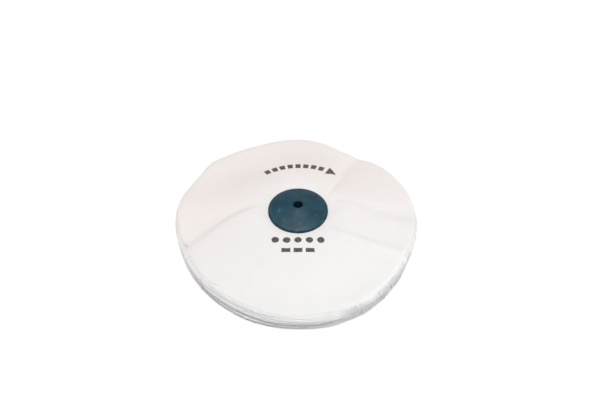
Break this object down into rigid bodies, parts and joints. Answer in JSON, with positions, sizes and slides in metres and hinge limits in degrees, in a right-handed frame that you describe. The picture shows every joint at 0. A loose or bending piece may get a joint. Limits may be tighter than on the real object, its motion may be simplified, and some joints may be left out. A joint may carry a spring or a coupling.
{
  "type": "polishing wheel",
  "caption": "Round polishing wheel of stacked loose muslin plies, clamped between two conical plastic shields with a bore for a tapered spindle.",
  "frame": {"origin": "on the bore's axis, on the surface that the wheel lies on", "axes": "+Z along the bore from the back shield to the front shield; X and Y lie in the plane of the wheel, which is round"},
  "size_m": [0.127, 0.127, 0.0168],
  "materials": {
    "muslin": "matte bleached cotton muslin, plain weave, unstitched, raw cut edge",
    "shield_plastic": "satin moulded plastic, dark petrol green, lightly scuffed"
  },
  "bodies": {
    "root": {"front_shield": "shield_plastic", "back_shield": "shield_plastic", "ply_01": "muslin", "ply_02": "muslin", "ply_03": "muslin", "ply_04": "muslin", "ply_05": "muslin", "ply_06": "muslin", "ply_07": "muslin", "ply_08": "muslin", "ply_09": "muslin", "ply_10": "muslin", "ply_11": "muslin", "ply_12": "muslin", "ply_13": "muslin", "ply_14": "muslin", "ply_15": "muslin", "ply_16": "muslin", "ply_17": "muslin", "ply_18": "muslin", "ply_19": "muslin", "ply_20": "muslin", "ply_21": "muslin", "ply_22": "muslin", "ply_23": "muslin", "ply_24": "muslin", "ply_25": "muslin", "ply_26": "muslin", "ply_27": "muslin", "ply_28": "muslin", "ply_29": "muslin", "ply_30": "muslin", "ply_31": "muslin", "ply_32": "muslin", "ply_33": "muslin", "ply_34": "muslin", "ply_35": "muslin", "ply_36": "muslin", "ply_37": "muslin", "ply_38": "muslin", "ply_39": "muslin", "ply_40": "muslin", "ply_41": "muslin", "ply_42": "muslin", "ply_43": "muslin", "ply_44": "muslin", "ply_45": "muslin", "ply_46": "muslin", "ply_47": "muslin", "ply_48": "muslin", "ply_49": "muslin", "ply_50": "muslin", "ply_51": "muslin", "ply_52": "muslin", "ply_53": "muslin", "ply_54": "muslin"}
  },
  "joints": []
}
